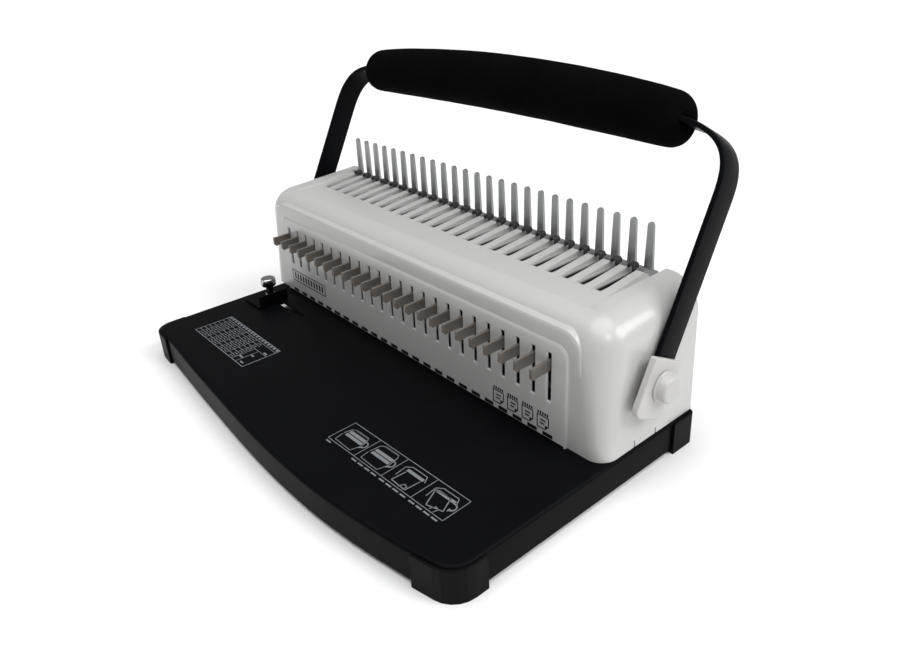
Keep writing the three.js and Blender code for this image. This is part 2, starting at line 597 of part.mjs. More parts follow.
function guideNut() {
  const nut = rod('z', 21, DECK_Z - TRAY.skin - GAP, GUIDE.x, GUIDE.y, 5.5, 6);
  return toGeometry(cut(toSolid(nut), rod('z', 10, 30, GUIDE.x, GUIDE.y, GUIDE.studR + GAP)));
}
addPart('guide_nut', guideNut(), zinc);

// ---------------------------------------------------------------- place the machine
machine.updateMatrixWorld(true);
const bounds = new THREE.Box3().setFromObject(machine, true);
const middle = bounds.getCenter(new THREE.Vector3());
machine.position.set(-middle.x, -middle.y, -bounds.min.z);

export default machine;
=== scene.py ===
"""Comb binding machine: the visual model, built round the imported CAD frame.

Lengths in the modelling code are millimetres in the drawing frame of the CAD source: X = 0 is the middle of
the pin row, Y = 0 is the foot of the front panel and Z = 0 is the table. put() turns them into the row frame.
"""

import math

import bmesh
import bpy
from mathutils import Matrix, Vector, noise


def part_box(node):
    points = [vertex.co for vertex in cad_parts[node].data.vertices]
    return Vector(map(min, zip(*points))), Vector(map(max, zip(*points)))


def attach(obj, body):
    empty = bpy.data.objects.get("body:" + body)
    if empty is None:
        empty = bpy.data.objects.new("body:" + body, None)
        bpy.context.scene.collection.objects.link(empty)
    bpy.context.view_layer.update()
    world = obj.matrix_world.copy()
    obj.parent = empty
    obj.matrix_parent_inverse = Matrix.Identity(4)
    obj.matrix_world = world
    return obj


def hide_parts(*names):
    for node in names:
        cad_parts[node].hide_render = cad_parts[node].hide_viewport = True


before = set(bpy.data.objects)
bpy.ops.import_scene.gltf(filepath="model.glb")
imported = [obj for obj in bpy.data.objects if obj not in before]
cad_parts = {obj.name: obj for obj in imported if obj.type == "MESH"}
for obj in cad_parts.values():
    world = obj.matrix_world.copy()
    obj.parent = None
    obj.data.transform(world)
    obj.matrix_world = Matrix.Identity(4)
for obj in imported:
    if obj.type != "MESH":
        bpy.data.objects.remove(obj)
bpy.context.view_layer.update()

# ---------------------------------------------------------------- frame and driving dimensions
MM = 0.001
comb_low, comb_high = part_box("finger_comb")
tray_low, tray_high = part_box("base_tray")
cover_low, cover_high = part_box("top_cover")
SHIFT = Vector(((comb_low.x + comb_high.x) / 2, cover_low.y, 0.0))
GAP = 0.3                # air left between an arm, its white cover and the cap

PITCH = 14.2875          # comb pitch, 9/16 inch
PINS = 24
PIN_X = [(i - (PINS - 1) / 2) * PITCH for i in range(PINS)]
FINGER_X = [(i - PINS / 2) * PITCH for i in range(PINS + 1)]
DECK_Z = tray_high.z / MM
TRAY_LEFT = (tray_low.x - SHIFT.x) / MM
TRAY_RIGHT = (tray_high.x - SHIFT.x) / MM
TRAY_REAR = (tray_high.y - SHIFT.y) / MM
TRAY_BOTTOM = tray_low.z / MM

COVER_LEFT = (cover_low.x - SHIFT.x) / MM
COVER_RIGHT = (cover_high.x - SHIFT.x) / MM
DRAFT = 1.6              # each side wall leans in by this much from the deck to the top
COVER_REAR = (cover_high.y - SHIFT.y) / MM
COVER_BOTTOM = cover_low.z / MM
COVER_FRONT = 2.4
COVER_WALL = 2.5
CEILING_Z = 116.8
RAKE = 0.024             # the front leans back by this slope
TOP_FRONT_Z = 118.2
TOP_REAR_Z = cover_high.z / MM
FLOOR_Z = 119.3          # floor of the sunk middle of the top
RECESS_X = 180.0
SKIN_END_Y = 86.6
OUTER_STEP = {"half": 189.0, "low": 70.0, "top": 111.5, "corner": 14.0, "face": 2.9, "rake": 0.0}
INNER_STEP = {"half": 180.0, "low": COVER_BOTTOM, "top": 100.2, "corner": 9.0, "face": 0.0, "rake": RAKE}
SLOT_LOW, SLOT_HIGH, SLOT_HALF = 55.9, 91.1, 1.5
HOOK_SLOT_HALF = 2.4
HOOK_SLOT_FRONT = 47.0
THROAT_X, THROAT = 178.5, 1.8
SHAFT_HOLE_R = 8.4

PIVOT = Vector((0.0, 47.2, 70.5))
LEAN = math.radians(27.7)
ARM_OUTSIDE, ARM_THICK, ARM_WIDTH, ARM_BACK = 213.6, 3.5, 20.5, 2.2
HANDLE_HALF = ARM_OUTSIDE - ARM_THICK / 2


# ---------------------------------------------------------------- mesh helpers
def put(points, matrix=None):
    """Drawing millimetres to metres in the row frame, through a local matrix where one is given."""
    moved = [Vector(p) for p in points]
    if matrix is not None:
        moved = [matrix @ p for p in moved]
    return [p * MM + SHIFT for p in moved]


def make(name, points, faces, matrix=None):
    mesh = bpy.data.meshes.new(name)
    mesh.from_pydata([tuple(p) for p in put(points, matrix)], [], faces)
    mesh.validate()
    piece = bpy.data.objects.new(name, mesh)
    bpy.context.scene.collection.objects.link(piece)
    tidy_normals(piece)
    return piece


def tidy_normals(piece):
    bm = bmesh.new()
    bm.from_mesh(piece.data)
    bmesh.ops.recalc_face_normals(bm, faces=bm.faces)
    bm.to_mesh(piece.data)
    bm.free()


def shade_smooth(piece, sharp_from=None):
    """Smooth shading; with an angle in degrees, edges sharper than that stay crisp."""
    for polygon in piece.data.polygons:
        polygon.use_smooth = True
    if sharp_from is None:
        return
    bm = bmesh.new()
    bm.from_mesh(piece.data)
    for edge in bm.edges:
        edge.smooth = len(edge.link_faces) == 2 and edge.calc_face_angle(0.0) < math.radians(sharp_from)
    bm.to_mesh(piece.data)
    bm.free()


def rounded(corners, steps=8):
    """Outline from corners (a, b, radius): a corner with a radius becomes an arc."""
    outline = []
    for i, corner in enumerate(corners):
        here = Vector(corner[:2])
        radius = corner[2] if len(corner) > 2 else 0.0
        if radius <= 0:
            outline.append(tuple(here))
            continue
        before = (Vector(corners[i - 1][:2]) - here).normalized()
        after = (Vector(corners[(i + 1) % len(corners)][:2]) - here).normalized()
        half = before.angle(after) / 2
        centre = here + (before + after).normalized() * radius / math.sin(half)
        start = here + before * radius / math.tan(half) - centre
        end = here + after * radius / math.tan(half) - centre
        sweep = math.atan2(start.x * end.y - start.y * end.x, start.dot(end))
        for k in range(steps + 1):
            turn = sweep * k / steps
            x = start.x * math.cos(turn) - start.y * math.sin(turn)
            y = start.x * math.sin(turn) + start.y * math.cos(turn)
            outline.append((centre.x + x, centre.y + y))
    return outline


def prism_mesh(axis, outline, low, high):
    """Points and faces of a prism: (y, z) outlines run along x, (x, z) along y and (x, y) along z."""
    place = {"x": lambda a, b, c: (c, a, b),
             "y": lambda a, b, c: (a, c, b),
             "z": lambda a, b, c: (a, b, c)}[axis]
    n = len(outline)
    points = [place(a, b, c) for c in (low, high) for a, b in outline]
    faces = [tuple(reversed(range(n))), tuple(range(n, 2 * n))]
    faces += [(i, (i + 1) % n, n + (i + 1) % n, n + i) for i in range(n)]
    return points, faces


def merge(parts):
    """Several (points, faces) as one."""
    points, faces = [], []
    for part_points, part_faces in parts:
        start = len(points)
        points += part_points
        faces += [tuple(start + i for i in face) for face in part_faces]
    return points, faces


def block(x0, x1, y0, y1, z0, z1):
    return prism_mesh("z", [(x0, y0), (x1, y0), (x1, y1), (x0, y1)], z0, z1)


def loft(rings, closed_ends=True):
    """Skin over rings that all have the same number of points."""
    n = len(rings[0])
    points = [p for ring in rings for p in ring]
    faces = []
    for r in range(len(rings) - 1):
        for i in range(n):
            j = (i + 1) % n
            faces.append((r * n + i, r * n + j, (r + 1) * n + j, (r + 1) * n + i))
    if closed_ends:
        faces.append(tuple(reversed(range(n))))
        last = (len(rings) - 1) * n
        faces.append(tuple(range(last, last + n)))
    return points, faces


def lathe(axis, profile, centre, segments):
    """Closed turned body: profile is (radius, distance along the axis) from end to end."""
    rings = []
    for radius, along in profile:
        ring = []
        for k in range(segments):
            turn = 2 * math.pi * k / segments
            a, b = radius * math.cos(turn), radius * math.sin(turn)
            offset = {"x": (along, a, b), "y": (a, along, b), "z": (a, b, along)}[axis]
            ring.append(tuple(Vector(centre) + Vector(offset)))
        rings.append(ring)
    return loft(rings)


def apply_boolean(piece, cutters, operation):
    """Joins the cutters to the piece, or cuts them out of it, for good."""
    for cutter in cutters:
        step = piece.modifiers.new("cut", "BOOLEAN")
        step.operation = operation
        step.object = cutter
        step.solver = "EXACT"
    bake_modifiers(piece)
    for cutter in cutters:
        bpy.data.objects.remove(cutter)


def bake_modifiers(piece):
    depsgraph = bpy.context.evaluated_depsgraph_get()
    mesh = bpy.data.meshes.new_from_object(piece.evaluated_get(depsgraph))
    piece.modifiers.clear()
    old = piece.data
    piece.data = mesh
    bpy.data.meshes.remove(old)


def soften(piece, width, segments=2, angle=30.0, clean=0.0):
    """Rounded edges: a bevel by angle, then smooth shading that keeps the flat faces flat."""
    if clean:
        bm = bmesh.new()
        bm.from_mesh(piece.data)
        bmesh.ops.remove_doubles(bm, verts=bm.verts, dist=clean * MM)
        bmesh.ops.dissolve_limit(bm, angle_limit=math.radians(0.5), verts=bm.verts, edges=bm.edges)
        bm.to_mesh(piece.data)
        bm.free()
    shade_smooth(piece)
    bevel = piece.modifiers.new("edges", "BEVEL")
    bevel.width = width * MM
    bevel.segments = segments
    bevel.limit_method = "ANGLE"
    bevel.angle_limit = math.radians(angle)
    bevel.use_clamp_overlap = True
    bevel.harden_normals = True
    return piece


def finish_piece(piece, body, material, slot_name, *stands_for):
    piece.data.materials.clear()
    piece.data.materials.append(material)
    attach(piece, body)
    if stands_for:
        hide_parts(*stands_for)
    return piece


# ---------------------------------------------------------------- materials
def new_material(name):
    material = bpy.data.materials.new(name)
    material.use_nodes = True
    nodes = material.node_tree.nodes
    return material, nodes, material.node_tree.links, nodes["Principled BSDF"]


def noise_node(nodes, links, scale, detail=3.0):
    """Noise in the object's own metres, so the grain stays on the piece."""
    where = nodes.get("Texture Coordinate") or nodes.new("ShaderNodeTexCoord")
    texture = nodes.new("ShaderNodeTexNoise")
    texture.inputs["Scale"].default_value = scale
    texture.inputs["Detail"].default_value = detail
    links.new(where.outputs["Object"], texture.inputs["Vector"])
    return texture


def add_bump(nodes, links, shader, texture, strength, distance):
    bump = nodes.new("ShaderNodeBump")
    bump.inputs["Strength"].default_value = strength
    bump.inputs["Distance"].default_value = distance
    links.new(texture.outputs["Fac"], bump.inputs["Height"])
    previous = shader.inputs["Normal"].links
    if previous:
        links.new(previous[0].from_socket, bump.inputs["Normal"])
    links.new(bump.outputs["Normal"], shader.inputs["Normal"])


def vary(nodes, links, texture, socket, low, high, from_low=0.2, from_high=0.8):
    """Lets the texture move a number or a colour between two values."""
    ramp = nodes.new("ShaderNodeValToRGB")
    ramp.color_ramp.elements[0].position = from_low
    ramp.color_ramp.elements[1].position = from_high
    colours = [low, high] if isinstance(low, (tuple, list)) else [(low,) * 3, (high,) * 3]
    for element, colour in zip(ramp.color_ramp.elements, colours):
        element.color = (*colour, 1.0)
    links.new(texture.outputs["Fac"], ramp.inputs["Fac"])
    links.new(ramp.outputs["Color"], socket)


def surface(name, low, high, rough_low, rough_high, grain, bump,
            metallic=0.0, coat=0.0, patch=18.0, specular=0.5):
    """A finish whose colour and gloss drift slowly between two values, with a fine grain."""
    material, nodes, links, shader = new_material(name)
    shader.inputs["Metallic"].default_value = metallic
    shader.inputs["Coat Weight"].default_value = coat
    shader.inputs["Coat Roughness"].default_value = 0.12
    shader.inputs["Specular IOR Level"].default_value = specular
    slow = noise_node(nodes, links, patch, 4.0)
    fine = noise_node(nodes, links, grain, 2.0)
    vary(nodes, links, slow, shader.inputs["Base Color"], low, high)
    vary(nodes, links, slow, shader.inputs["Roughness"], rough_low, rough_high)
    add_bump(nodes, links, shader, fine, bump, 0.0002)
    return material


def grey(value, tint=(1.0, 1.0, 1.0)):
    return tuple(value * t for t in tint)


# The pearl white is even: a slow drift showed as blotches on its large walls.
PEARL = surface("pearl_white", grey(0.52, (1, 0.995, 0.985)), grey(0.52, (1, 0.995, 0.985)),
                0.27, 0.27, 900.0, 0.04, coat=0.3)
CAP_WHITE = surface("cap_white", grey(0.47, (1, 0.99, 0.96)), grey(0.52, (1, 0.99, 0.96)),
                    0.30, 0.38, 1200.0, 0.08, coat=0.1)
BLACK_PAINT = surface("black_powder_coat", grey(0.0020, (0.9, 0.97, 1.2)), grey(0.0032, (0.9, 0.97, 1.2)),
                      0.36, 0.46, 1500.0, 0.25, specular=0.04)
BLACK_BAR = surface("black_bar_paint", grey(0.0030, (0.9, 0.97, 1.2)), grey(0.0050, (0.9, 0.97, 1.2)),
                    0.28, 0.38, 1300.0, 0.20, specular=0.035)
BLACK_PLASTIC = surface("black_plastic", grey(0.0035), grey(0.0055), 0.42, 0.52, 1800.0, 0.25, specular=0.05)
ZINC = surface("zinc_steel", grey(0.30, (0.97, 1.0, 0.99)), grey(0.40, (0.97, 1.0, 0.99)),
               0.34, 0.48, 700.0, 0.15, metallic=0.7, patch=60.0)
DARK_STEEL = surface("dark_steel", grey(0.05), grey(0.09), 0.36, 0.50, 800.0, 0.15, metallic=0.7, patch=50.0)
TAB_BROWN = surface("tab_brown", grey(0.10, (1.14, 1.0, 0.88)), grey(0.15, (1.14, 1.0, 0.88)),
                    0.36, 0.50, 1500.0, 0.25, patch=60.0)
CHROME = surface("chrome", grey(0.50), grey(0.62), 0.10, 0.18, 900.0, 0.05, metallic=1.0)
NYLON = surface("nylon", grey(0.55), grey(0.62), 0.45, 0.55, 900.0, 0.10)
INK_BLACK = surface("black_ink", grey(0.006), grey(0.010), 0.40, 0.50, 900.0, 0.05, specular=0.2)
INK_WHITE = surface("white_ink", grey(0.15, (0.93, 1.0, 1.08)), grey(0.20, (0.93, 1.0, 1.08)),
                    0.45, 0.55, 900.0, 0.05)


def foam_material():
    """Closed-cell foam: nearly black and dull, with fine pores."""
    material, nodes, links, shader = new_material("foam_black")
    shader.inputs["Roughness"].default_value = 0.92
    shader.inputs["Specular IOR Level"].default_value = 0.02
    slow = noise_node(nodes, links, 30.0, 5.0)
    vary(nodes, links, slow, shader.inputs["Base Color"], grey(0.0016), grey(0.0030))
    where = nodes["Texture Coordinate"]
    pores = nodes.new("ShaderNodeTexVoronoi")
    pores.inputs["Scale"].default_value = 1100.0
    links.new(where.outputs["Object"], pores.inputs["Vector"])
    bump = nodes.new("ShaderNodeBump")
    bump.inputs["Strength"].default_value = 0.5
    bump.inputs["Distance"].default_value = 0.0004
    links.new(pores.outputs["Distance"], bump.inputs["Height"])
    links.new(bump.outputs["Normal"], shader.inputs["Normal"])
    add_bump(nodes, links, shader, noise_node(nodes, links, 160.0, 4.0), 0.35, 0.0008)
    return material


FOAM = foam_material()


# ---------------------------------------------------------------- housing
def cover_ring(z, shrink, radius, left, right, front, rear, steps):
    """Plan outline of the cover at one height: only the two front corners are round."""
    x0, x1 = left + shrink, right - shrink
    y0 = front + shrink
    outline = []
    for centre_x, first in ((x0 + radius, 180.0), (x1 - radius, 270.0)):
        for k in range(steps + 1):
            turn = math.radians(first + 90.0 * k / steps)
            outline.append((centre_x + radius * math.cos(turn), y0 + radius + radius * math.sin(turn)))
    outline += [(x1, rear), (x0, rear)]
    return [(x, y, z) for x, y in outline]


def cover_block(inset, rear):
    """The cover's rounded block: vertical corners that open towards the top, and a round top edge."""
    left, right, front = COVER_LEFT + inset, COVER_RIGHT - inset, COVER_FRONT + inset
    top, low = TOP_REAR_Z - inset, COVER_BOTTOM - (20.0 if inset else 0.0)
    edge = 22.0 - inset
    foot = 13.0 - inset
    steps = 12
    rings = [cover_ring(low, 0.0, foot, left, right, front, rear, steps),
             cover_ring((low + top - edge) / 2, 0.0, (foot + edge) / 2, left, right, front, rear, steps)]
    for k in range(steps):
        turn = math.radians(90.0 * k / steps)
        rings.append(cover_ring(top - edge + edge * math.sin(turn), edge * (1 - math.cos(turn)),
                                edge * math.cos(turn), left, right, front, rear, steps))
    rings.append(cover_ring(top, edge * 0.94, edge * 0.06, left, right, front, rear, steps))
    points, faces = loft(rings)
    return [shape_cover(p) for p in points], faces


def shape_cover(point):
    """Leans the front back, drafts the side walls and lets the top fall towards the front."""
    x, y, z = point
    depth = max(0.0, min(1.0, (COVER_REAR - y) / (COVER_REAR - COVER_FRONT)))
    height = max(0.0, min(1.2, (z - DECK_Z) / (TOP_REAR_Z - DECK_Z)))
    fall = TOP_REAR_Z - TOP_FRONT_Z
    return (x * (1 - DRAFT * height / COVER_RIGHT), y + RAKE * (z - DECK_Z) * depth,
            z - fall * depth * height ** 3)


def raised_plate(name, half, low, top, corner, face, rake):
    """One raised step of the front panel, with a soft edge that slopes back to the face behind it."""
    slope, depth, steps = 2.2, 1.3, 4
    rings = []
    for k in range(steps + 2):
        turn = math.radians(90.0 * min(k, steps) / steps)
        inset = slope * (1 - math.sin(turn))
        back = depth * (1 - math.cos(turn)) if k <= steps else 9.0
        outline = rounded([(-half + inset, low), (half - inset, low), (half - inset, top - inset, corner),
                           (-half + inset, top - inset, corner)], 10)
        rings.append([(x, face + back + rake * (z - DECK_Z), z) for x, z in outline])
    return make(name, *loft(rings))


def slot_chamfer(x):
    """Cutter that opens a front slot to a shallow bevel at the face."""
    rings = []
    for grow, deep in ((1.15, -0.25), (0.0, 0.9)):
        half = SLOT_HALF + grow
        ring = [(x - half, SLOT_LOW - grow), (x + half, SLOT_LOW - grow),
                (x + half, SLOT_HIGH + grow), (x - half, SLOT_HIGH + grow)]
        rings.append([(a, deep + RAKE * (b - DECK_Z), b) for a, b in ring])
    return loft(rings)


def top_rib(x):
    """White wedge between two hook slots: it grows towards the fingers and ends in a short slope."""
    foot, crest = 4.4, 3.5
    rings = []
    for y, top in ((41.0, FLOOR_Z - 0.2), (82.2, FLOOR_Z + 3.9), (SKIN_END_Y - 0.3, FLOOR_Z + 1.3)):
        rings.append([(x - foot, y, FLOOR_Z - 0.8), (x + foot, y, FLOOR_Z - 0.8), (x + crest, y, top),
                      (x - crest, y, top)])
    return loft(rings)


def cover_cutters():
    """Cutters for the finished shell: slots, bevels, rear cut, throat, shaft holes and lug slits."""
    front, rear = -4.0, 120.0
    slots = [block(x - SLOT_HALF, x + SLOT_HALF, front, 9.0, SLOT_LOW, SLOT_HIGH) for x in PIN_X]
    hooks = [block(x - HOOK_SLOT_HALF, x + HOOK_SLOT_HALF, HOOK_SLOT_FRONT, rear, 105.0, 140.0)
             for x in PIN_X]
    lugs = [block(203.0, 215.0, y - 0.6, y + 0.6, 10.0, top) for y, top in ((33.9, 31.0), (56.0, 30.0))]
    edge = RECESS_X + 1.5
    shaft = [(SHAFT_HOLE_R, -230.0), (SHAFT_HOLE_R, 230.0)]
    return [make("front_slots", *merge(slots)),
            make("chamfers", *merge([slot_chamfer(x) for x in PIN_X])),
            make("top_slots", *merge(hooks)),
            make("rear_cut", *block(-edge, edge, SKIN_END_Y, rear, 112.0, 140.0)),
            make("throat", *block(-THROAT_X, THROAT_X, front, 9.0, 10.0, DECK_Z + THROAT)),
            make("shaft_holes", *lathe("x", shaft, (0, PIVOT.y, PIVOT.z), 32)),
            make("lug_slits", *merge(lugs))]


def build_cover():
    shell = make("housing_shell", *cover_block(0.0, COVER_REAR))
    outer = raised_plate("outer_step", **OUTER_STEP)
    profile = [(14, 72), (14, 113), (2.8, 113), (2.8, 92), (4.6, 72)]
    apply_boolean(outer, [make("fade", *prism_mesh("x", profile, -200.0, 200.0))], "INTERSECT")
    apply_boolean(shell, [outer, raised_plate("inner_step", **INNER_STEP)], "UNION")
    hollow = make("hollow", *cover_block(COVER_WALL, COVER_REAR + 20.0))
    roof = make("roof", *block(-RECESS_X - 8, RECESS_X + 8, -20.0, 120.0, CEILING_Z, 140.0))
    apply_boolean(hollow, [roof], "DIFFERENCE")
    thin_x = RECESS_X - 4
    thin_face = make("thin_face", *prism_mesh("x", [(1.5, 32), (8, 32), (8, 96), (3.1, 96)], -thin_x, thin_x))
    thin_floor = make("thin_floor", *block(-thin_x, thin_x, 44.0, 120.0, 110.0, FLOOR_Z - 1.2))
    recess = rounded([(-RECESS_X + 3, FLOOR_Z, 3.0), (RECESS_X - 3, FLOOR_Z, 3.0),
                      (RECESS_X + 5, FLOOR_Z + 8), (-RECESS_X - 5, FLOOR_Z + 8)], 5)
    sunk = make("sunk", *prism_mesh("y", recess, 12.0, 120.0))
    apply_boolean(shell, [hollow, sunk, thin_face, thin_floor], "DIFFERENCE")
    apply_boolean(shell, [make("ribs", *merge([top_rib(x) for x in FINGER_X]))], "UNION")
    apply_boolean(shell, cover_cutters(), "DIFFERENCE")
    soften(shell, 0.3, 2, 28.0, clean=0.01)
    return finish_piece(shell, "root", PEARL, "white_plastic", "top_cover")


build_cover()


# ---------------------------------------------------------------- base tray
TRAY_WALL = 1.5
TRAY_BEND = 2.6          # radius of the bend round the deck's edge
REAR_CORNER_R = 3.5
LEFT_CORNER_Y, LEFT_CORNER_R = -124.5, 15.0
RIGHT_CORNER_Y, RIGHT_CORNER_R = -121.0, 17.0
BOW = ((-160, -127), (-85, -133.4), (14, -139.6), (83, -139.9), (133, -135.6), (174, -129.2))
BOW_STEPS = 8
SLOT_LEFT, SLOT_RIGHT, SLOT_FRONT, SLOT_REAR, SLOT_R = -180, -116, -24.3, -19.7, 2.2
RUNNER_INSIDE, RUNNER_OUTSIDE, LEDGE_INSIDE = 168.0, 169.5, 161.0
RUNNER_FRONT, RUNNER_REAR, RUNNER_BOTTOM, LEDGE_TOP = 14.0, 92.0, 3.5, 4.6


def bow_points():
    """The tray's bowed front edge, as a Catmull-Rom curve through the BOW points."""
    knots = [Vector(p) for p in BOW]
    ends = [knots[0] * 2 - knots[1], *knots, knots[-1] * 2 - knots[-2]]
    points = []
    for i in range(len(knots) - 1):
        a, b, c, d = ends[i:i + 4]
        for k in range(BOW_STEPS):
            t = k / BOW_STEPS
            points.append(0.5 * (2 * b + (c - a) * t + (2 * a - 5 * b + 4 * c - d) * t ** 2
                                 + (3 * b - a - 3 * c + d) * t ** 3))
    return points + [knots[-1]]


def tray_outline(inset, steps=12):
    """Outline of the tray, with every edge moved in by the inset."""
    bow = [(p.x, p.y + inset) for p in bow_points()]
    return rounded([(TRAY_RIGHT - inset, TRAY_REAR - inset, REAR_CORNER_R - inset),
                    (TRAY_LEFT + inset, TRAY_REAR - inset, REAR_CORNER_R - inset),
                    (TRAY_LEFT + inset, LEFT_CORNER_Y + inset, LEFT_CORNER_R - inset),
                    *bow,
                    (TRAY_RIGHT - inset, RIGHT_CORNER_Y + inset, RIGHT_CORNER_R - inset)], steps)


def build_tray():
    """Tray: the deck and its walls, cut out, with the two runners that carry the drawer."""
    rings = [[(x, y, TRAY_BOTTOM) for x, y in tray_outline(0.0)]]
    for k in range(7):
        turn = math.radians(90.0 * k / 6)
        inset = TRAY_BEND * (1 - math.cos(turn))
        z = DECK_Z - TRAY_BEND + TRAY_BEND * math.sin(turn)
        rings.append([(x, y, z) for x, y in tray_outline(inset)])
    tray = make("tray_body", *loft(rings))
    hollow = make("tray_hollow", *prism_mesh("z", tray_outline(TRAY_WALL), -5.0, DECK_Z - TRAY_WALL))
    apply_boolean(tray, [hollow], "DIFFERENCE")
    # Three openings: under the punches, the edge guide's slot, and the drawer's in the rear wall.
    cuts = make("tray_cuts", *merge([
        block(-180.0, 180.0, 5.0, 24.0, 20.0, 30.0),
        prism_mesh("z", rounded([(SLOT_LEFT, SLOT_FRONT, SLOT_R), (SLOT_RIGHT, SLOT_FRONT, SLOT_R),
                                 (SLOT_RIGHT, SLOT_REAR, SLOT_R), (SLOT_LEFT, SLOT_REAR, SLOT_R)]),
                   20.0, 30.0),
        block(-167.0, 167.0, TRAY_REAR - 2.5, TRAY_REAR + 2.0, 4.7, 19.2)]))
    apply_boolean(tray, [cuts], "DIFFERENCE")
    runners = []
    for side in (-1, 1):
        wall = sorted((side * RUNNER_INSIDE, side * RUNNER_OUTSIDE))
        ledge = sorted((side * LEDGE_INSIDE, side * RUNNER_OUTSIDE))
        runners.append(block(*wall, RUNNER_FRONT, RUNNER_REAR, RUNNER_BOTTOM, DECK_Z - 1.0))
        runners.append(block(*ledge, RUNNER_FRONT, RUNNER_REAR, RUNNER_BOTTOM, LEDGE_TOP))
    for k, runner in enumerate(runners):
        apply_boolean(tray, [make(f"runner_{k}", *runner)], "UNION")
    soften(tray, 0.35, 2, 35.0, clean=0.01)
    return finish_piece(tray, "root", BLACK_PAINT, "black_paint", "base_tray")


build_tray()


# ---------------------------------------------------------------- handle
HANDLE = Matrix.Translation((0, PIVOT.y, PIVOT.z)) @ Matrix.Rotation(-LEAN, 4, "X")
SHOULDER_X, SHOULDER_Z, CROWN_Z = 168.0, 163.2, 169.4
BEND_FROM = 121.0


def bezier(points, t):
    while len(points) > 1:
        points = [a.lerp(b, t) for a, b in zip(points, points[1:])]
    return points[0]


def handle_midline():
    """Middle line of the bar in its own plane, from the right pivot end over the crown to the left one."""
    bend = [Vector(p) for p in ((HANDLE_HALF, BEND_FROM), (HANDLE_HALF, BEND_FROM + 20),
                                (SHOULDER_X + 40, SHOULDER_Z - 3), (SHOULDER_X, SHOULDER_Z))]
    bow = [Vector(p) for p in ((SHOULDER_X, SHOULDER_Z), (SHOULDER_X / 2, CROWN_Z), (0, CROWN_Z))]
    right = [Vector((HANDLE_HALF, -12))] + [bezier(bend, k / 28) for k in range(29)]
    right += [bezier(bow, k / 16) for k in range(1, 17)]
    return right + [Vector((-p.x, p.y)) for p in reversed(right[:-1])]


def build_handle_bar():
    line = handle_midline()
    half, wide = ARM_THICK / 2, ARM_WIDTH / 2
    section = rounded([(half, -wide, 0.8), (half, wide, 0.8), (-half, wide, 0.8), (-half, -wide, 0.8)], 4)
    rings = []
    for i, point in enumerate(line):
        along = (line[min(i + 1, len(line) - 1)] - line[max(i - 1, 0)]).normalized()
        out = Vector((along.y, -along.x))
        rings.append([(point.x + out.x * a, ARM_BACK + b, point.y + out.y * a) for a, b in section])
    bar = make("handle_loop", *loft(rings), HANDLE)
    shade_smooth(bar, 45.0)
    return finish_piece(bar, "handle", BLACK_BAR, "black_paint", "handle_bar")


build_handle_bar()

GRIP_LEFT, GRIP_RIGHT = -177.0, 170.0
GRIP_MIDDLE, GRIP_END = 22.3, 17.0
GRIP_DOME = 11.0
GRIP_SWELL = 0.45        # below 1, the barrel reaches its full girth soon after its ends
FOAM_LUMPS = 0.010       # the foam's radius wanders by this share either way


def grip_radius(x):
    """Radius of the foam: a barrel that swells soon after its round ends."""
    share = (x - GRIP_LEFT) / (GRIP_RIGHT - GRIP_LEFT)
    swell = max(0.0, math.sin(math.pi * min(max(share, 0.0), 1.0))) ** GRIP_SWELL
    radius = GRIP_END + (GRIP_MIDDLE - GRIP_END) * swell
    near = min(x - GRIP_LEFT, GRIP_RIGHT - x)
    if near < GRIP_DOME:
        radius *= 0.55 + 0.45 * math.sqrt(max(0.0, 1 - (1 - near / GRIP_DOME) ** 2))
    return radius


def grip_ring(x, radii, segments=72):
    """Ring round the bar; the bar's bow carries it along."""
    reach = min(abs(x) / SHOULDER_X, 1.1)
    z = CROWN_Z - (CROWN_Z - SHOULDER_Z) * reach * reach
    ring = []
    for k in range(segments):
        turn = 2 * math.pi * k / segments
        lump = noise.noise(Vector((x * 0.03, math.cos(turn) * 0.9, math.sin(turn) * 0.9)))
        swell = 1 - FOAM_LUMPS + FOAM_LUMPS * lump
        ring.append((x, ARM_BACK + radii[0] * swell * math.cos(turn),
                     z + radii[1] * swell * math.sin(turn)))
    return ring


def build_grip():
    stations = 100
    rings = []
    for k in range(stations + 1):
        x = GRIP_LEFT + (GRIP_RIGHT - GRIP_LEFT) * (0.5 - 0.5 * math.cos(math.pi * k / stations))
        radius = grip_radius(x)
        rings.append(grip_ring(x, (radius, radius)))
    for end, sign in ((GRIP_LEFT, 1), (GRIP_RIGHT, -1)):
        mouth = [grip_ring(end + sign * 0.5, (ARM_WIDTH / 2 + 0.6, ARM_THICK / 2 + 0.9)),
                 grip_ring(end + sign * 5.0, (ARM_WIDTH / 2 + 0.3, ARM_THICK / 2 + 0.4))]
        rings = mouth[::-1] + rings if sign > 0 else rings + mouth
    grip = make("foam_barrel", *loft(rings), HANDLE)
    shade_smooth(grip)
    return finish_piece(grip, "handle", FOAM, "foam", "foam_grip")


build_grip()

SHOE_THICK = 5.1
SHOE = {"front": -18.4, "rear": 12.6, "low": -23.2, "high": 17.3}
SHOE_FOOT_R, SHOE_TOP_R = 7.0, 1.5
# Radius, and distance outwards from the cap's inner face: foot ring, slightly tapered drum, flat face.
CAP_PROFILE = [(0.01, 0.0), (10.6, 0.0), (10.6, 0.9), (9.9, 1.6), (9.3, 5.4), (8.9, 6.8), (8.3, 7.4),
               (7.4, 7.6), (0.01, 7.6)]


